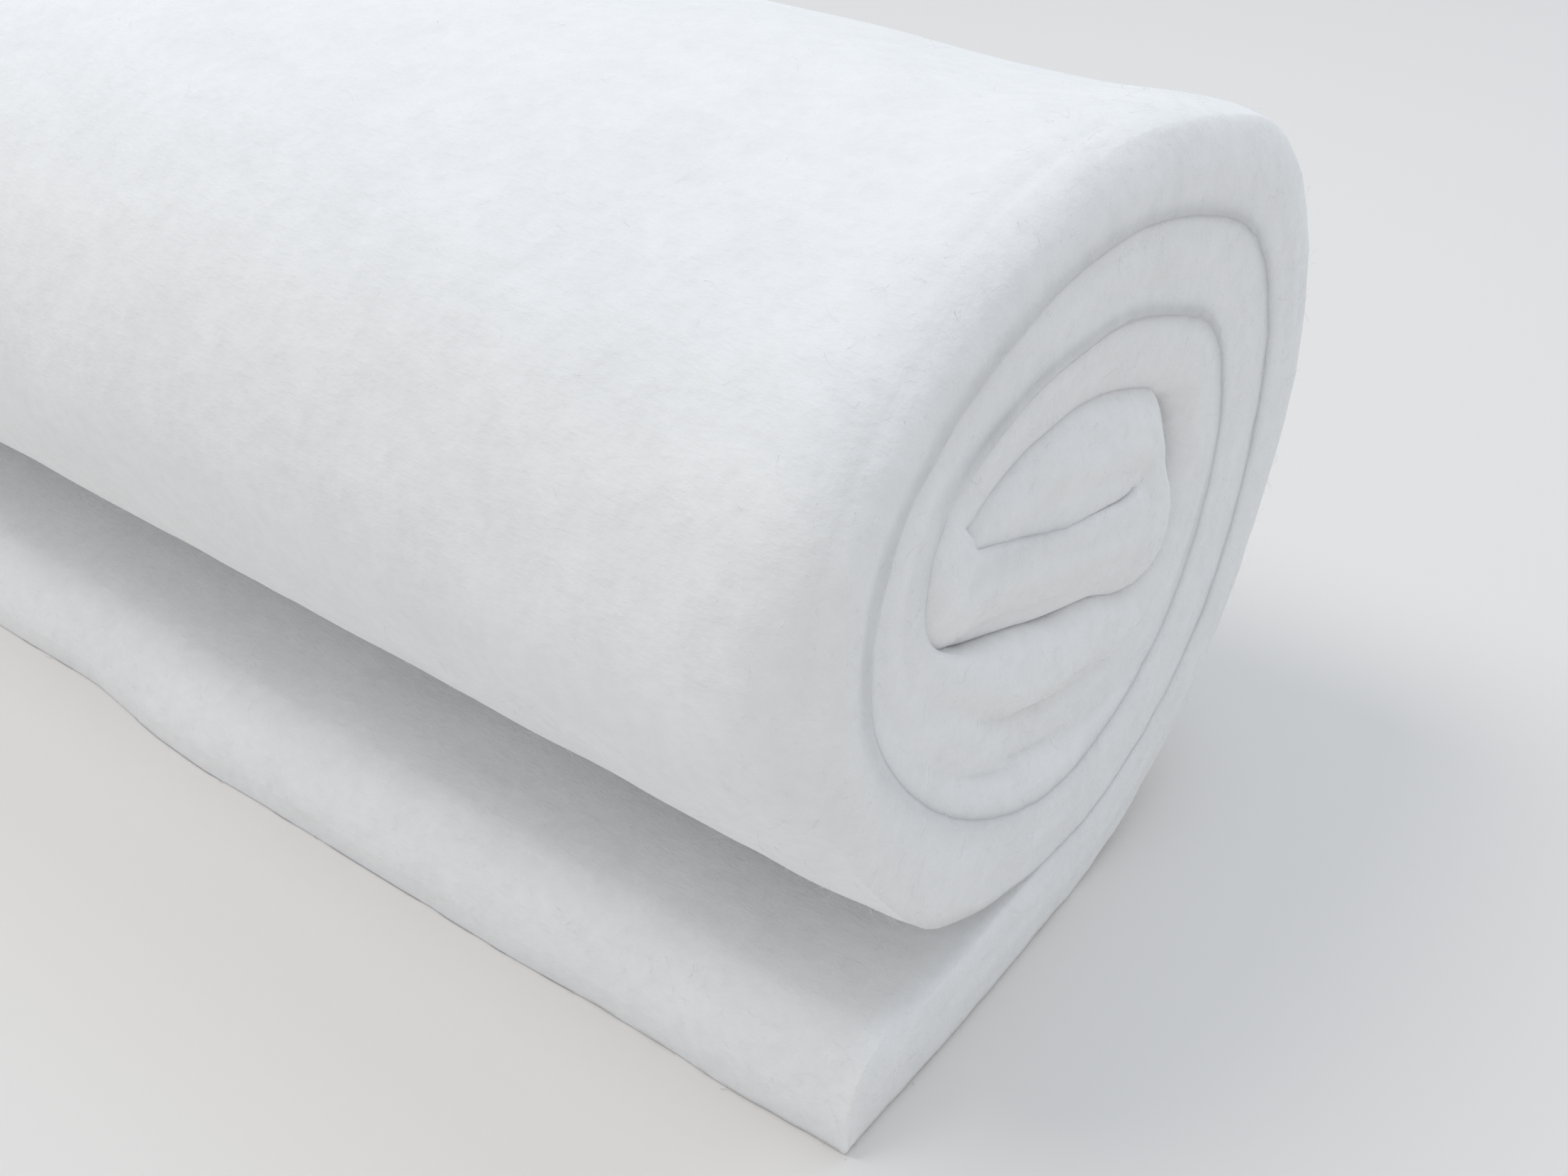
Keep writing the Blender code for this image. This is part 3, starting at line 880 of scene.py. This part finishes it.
@dataclass(frozen=True)
class WaddingFinish:
    """White bonded polyester fibre: matt, softly mottled, with fine fibres lying mostly along the roll.

    Swells are counted in a metre, lifts and the glow's reach are in metres, and the lie is in degrees.
    """

    name: str
    light: tuple[float, float, float, float] = (0.885, 0.887, 0.893, 1.0)
    dim: tuple[float, float, float, float] = (0.835, 0.836, 0.842, 1.0)
    tuft_swells: float = 55.0
    mottle_swells: float = 210.0
    fibre_swells: float = 1100.0
    fibre_stretch: tuple[float, float, float] = (0.35, 1.0, 1.0)
    fibre_lie: float = 18.0
    tuft_lift: float = 0.0010
    mottle_lift: float = 0.0005
    fibre_lift: float = 0.0002
    glow: float = 0.35
    glow_reach: float = 0.006
    glow_colours: tuple[float, float, float] = (1.0, 0.95, 0.9)
    roughness: float = 0.95
    sheen: float = 0.2
    sheen_roughness: float = 0.6
    specular: float = 0.15
    mix_from: float = 0.75
    mix_to: float = 1.25

    def dress(self, piece: bpy.types.Object) -> None:
        """Give the piece this finish and no other."""
        piece.data.materials.clear()
        piece.data.materials.append(self.build())

    def build(self) -> bpy.types.Material:
        """Make the material.

        Returns:
            A node material that reads Object coordinates.
        """
        material = bpy.data.materials.new(self.name)
        material.use_nodes = True
        nodes = material.node_tree.nodes
        links = material.node_tree.links
        shader = nodes["Principled BSDF"]
        values = {
            "Roughness": self.roughness,
            "Sheen Weight": self.sheen,
            "Sheen Roughness": self.sheen_roughness,
            "Specular IOR Level": self.specular,
            "Subsurface Weight": self.glow,
            "Subsurface Radius": self.glow_colours,
            "Subsurface Scale": self.glow_reach,
        }
        for name, value in values.items():
            shader.inputs[name].default_value = value
        place = nodes.new("ShaderNodeTexCoord").outputs["Object"]
        lie = nodes.new("ShaderNodeMapping")
        lie.inputs["Scale"].default_value = self.fibre_stretch
        lie.inputs["Rotation"].default_value = (0.0, 0.0, math.radians(self.fibre_lie))
        links.new(place, lie.inputs["Vector"])
        tufts = self.swells(material, place, self.tuft_swells, 3.0)
        mottle = self.swells(material, place, self.mottle_swells, 5.0)
        fibres = self.swells(material, lie.outputs["Vector"], self.fibre_swells, 4.0)
        links.new(self.mixed_colour(material, tufts, mottle), shader.inputs["Base Color"])
        normal = self.lifted(material, tufts, self.tuft_lift, None)
        normal = self.lifted(material, mottle, self.mottle_lift, normal)
        normal = self.lifted(material, fibres, self.fibre_lift, normal)
        links.new(normal, shader.inputs["Normal"])
        return material

    def mixed_colour(self, material: bpy.types.Material, tufts: bpy.types.NodeSocket,
                     mottle: bpy.types.NodeSocket) -> bpy.types.NodeSocket:
        """Mix the light and the dim white by the tufts and the mottle.

        Args:
            material: The material.
            tufts: Height of the broad tufts.
            mottle: Height of the fine mottle.

        Returns:
            The mixed colour.
        """
        nodes = material.node_tree.nodes
        links = material.node_tree.links
        both = nodes.new("ShaderNodeMath")
        both.operation = "ADD"
        links.new(tufts, both.inputs[0])
        links.new(mottle, both.inputs[1])
        spread = nodes.new("ShaderNodeMapRange")
        spread.inputs["From Min"].default_value = self.mix_from
        spread.inputs["From Max"].default_value = self.mix_to
        links.new(both.outputs["Value"], spread.inputs["Value"])
        colour = nodes.new("ShaderNodeMix")
        colour.data_type = "RGBA"
        dim_socket, light_socket = colour.inputs[6], colour.inputs[7]
        dim_socket.default_value = self.dim
        light_socket.default_value = self.light
        links.new(spread.outputs["Result"], colour.inputs[0])
        return colour.outputs[2]

    @staticmethod
    def lifted(material: bpy.types.Material, height: bpy.types.NodeSocket, lift: float,
               normal: bpy.types.NodeSocket | None) -> bpy.types.NodeSocket:
        """Add a bump on top of the bumps so far.

        Args:
            material: The material.
            height: Height of the bump, from 0 to 1.
            lift: What a height of 1 stands for, in metres.
            normal: The normal that carries the bumps so far, or None.

        Returns:
            The bumped normal.
        """
        bump = material.node_tree.nodes.new("ShaderNodeBump")
        bump.inputs["Strength"].default_value = 1.0
        bump.inputs["Distance"].default_value = lift
        material.node_tree.links.new(height, bump.inputs["Height"])
        if normal is not None:
            material.node_tree.links.new(normal, bump.inputs["Normal"])
        return bump.outputs["Normal"]

    @staticmethod
    def swells(material: bpy.types.Material, place: bpy.types.NodeSocket, swells: float,
               detail: float) -> bpy.types.NodeSocket:
        """Add a noise texture.

        Args:
            material: The material.
            place: The coordinates to read.
            swells: Swells in a metre.
            detail: Number of finer layers.

        Returns:
            The noise's height.
        """
        texture = material.node_tree.nodes.new("ShaderNodeTexNoise")
        texture.inputs["Scale"].default_value = swells
        texture.inputs["Detail"].default_value = detail
        texture.inputs["Roughness"].default_value = 0.6
        material.node_tree.links.new(place, texture.inputs["Vector"])
        return texture.outputs["Fac"]


WEB_FINISH = WaddingFinish("white_wadding")
FIBRE_FINISH = WaddingFinish("loose_fibre", glow=1.0, tuft_lift=0.0, mottle_lift=0.0, fibre_lift=0.0)


@dataclass
class Studio:
    """Plain pale floor, soft lights and the camera at the photo's angle.

    The lights' places and sizes are in metres, their powers in watts and the camera's angles in degrees.
    """

    floor_side: float = 8000.0
    floor_below: float = 0.3
    floor_colour: tuple[float, float, float, float] = (0.81, 0.785, 0.765, 1.0)
    sky_colour: tuple[float, float, float, float] = (0.955, 0.98, 1.0, 1.0)
    sky_strength: float = 0.66
    key_place: tuple[float, float, float] = (-0.60, -0.44, 1.85)
    key_size: float = 1.0
    key_power: float = 11.5
    key_colour: tuple[float, float, float] = (1.0, 0.99, 0.98)
    fill_place: tuple[float, float, float] = (0.50, 0.95, 1.9)
    fill_size: float = 1.4
    fill_power: float = 8.0
    fill_colour: tuple[float, float, float] = (0.62, 0.80, 1.0)
    lit_middle: tuple[float, float, float] = (0.1, 0.0, 0.08)
    camera_place: tuple[float, float, float] = (458.8, -277.1, 288.0)
    camera_down: float = 33.5787
    camera_turn: float = 53.0136
    focal_share: float = 2200.0 / 2212.0
    sensor_width: float = 36.0

    def floor(self) -> None:
        """Lay the floor."""
        bpy.ops.object.select_all(action="DESELECT")
        place = (0.0, 0.0, -self.floor_below * MM)
        bpy.ops.mesh.primitive_plane_add(size=self.floor_side * MM, location=place)
        floor = bpy.context.object
        floor.name = "floor"
        material = bpy.data.materials.new("pale_floor")
        material.use_nodes = True
        shader = material.node_tree.nodes["Principled BSDF"]
        shader.inputs["Base Color"].default_value = self.floor_colour
        shader.inputs["Roughness"].default_value = 0.9
        shader.inputs["Specular IOR Level"].default_value = 0.1
        floor.data.materials.append(material)

    def lights(self) -> None:
        """Hang a soft light over the front and a bluish one behind, and fill the rest from a pale sky."""
        world = bpy.data.worlds.new("pale_sky")
        world.use_nodes = True
        world.node_tree.nodes["Background"].inputs["Color"].default_value = self.sky_colour
        world.node_tree.nodes["Background"].inputs["Strength"].default_value = self.sky_strength
        bpy.context.scene.world = world
        self.soft_light("key_light", self.key_place, self.key_size, self.key_power, self.key_colour)
        self.soft_light("fill_light", self.fill_place, self.fill_size, self.fill_power, self.fill_colour)

    def soft_light(self, name: str, place: tuple[float, float, float], size: float, power: float,
                   colour: tuple[float, float, float]) -> None:
        """Hang a round soft light that faces the roll.

        Args:
            name: The light's name.
            place: Its place in metres.
            size: Its diameter in metres.
            power: Its power in watts.
            colour: Its colour.
        """
        bpy.ops.object.select_all(action="DESELECT")
        bpy.ops.object.light_add(type="AREA", location=place)
        light = bpy.context.object
        light.name = name
        light.data.shape = "DISK"
        light.data.size = size
        light.data.energy = power
        light.data.color = colour
        aim = Vector(self.lit_middle) - light.location
        light.rotation_euler = aim.to_track_quat("-Z", "Y").to_euler()

    def camera(self) -> None:
        """Stand the camera where the photo was taken from."""
        down = math.radians(self.camera_down)
        turn = math.radians(self.camera_turn)
        ahead = Vector((-math.cos(turn), math.sin(turn), 0.0))
        right = Vector((math.sin(turn), math.cos(turn), 0.0))
        view = ahead * math.cos(down) - Vector((0.0, 0.0, math.sin(down)))
        top = ahead * math.sin(down) + Vector((0.0, 0.0, math.cos(down)))
        data = bpy.data.cameras.new("camera")
        data.sensor_width = self.sensor_width
        data.lens = self.focal_share * self.sensor_width
        data.clip_start = 0.01
        camera = bpy.data.objects.new("camera", data)
        bpy.context.scene.collection.objects.link(camera)
        axes = Matrix((right, top, -view)).transposed().to_4x4()
        axes.translation = Vector(self.camera_place) * MM
        camera.matrix_world = axes
        bpy.context.scene.camera = camera

    def build(self) -> None:
        """Set up the floor, the lights, the camera and plain colour handling."""
        self.floor()
        self.lights()
        self.camera()
        bpy.context.scene.view_settings.view_transform = "Standard"


def main() -> None:
    """Build the wadding and the studio round it."""
    logging.basicConfig(level=logging.INFO, format="%(message)s")
    course = WoundCourse()
    web = WaddingWeb(course).build()
    LOG.info("%s: %.3f m long when laid flat", web.name, course.whole().length[-1] * MM)
    WEB_FINISH.dress(web)
    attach(web, "root")
    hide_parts("wadding")
    fibres = LooseFibres().build(web)
    FIBRE_FINISH.dress(fibres)
    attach(fibres, "root")
    Studio().build()
    LOG.info("studio: floor, lights and camera")


if __name__ == "__main__":
    main()
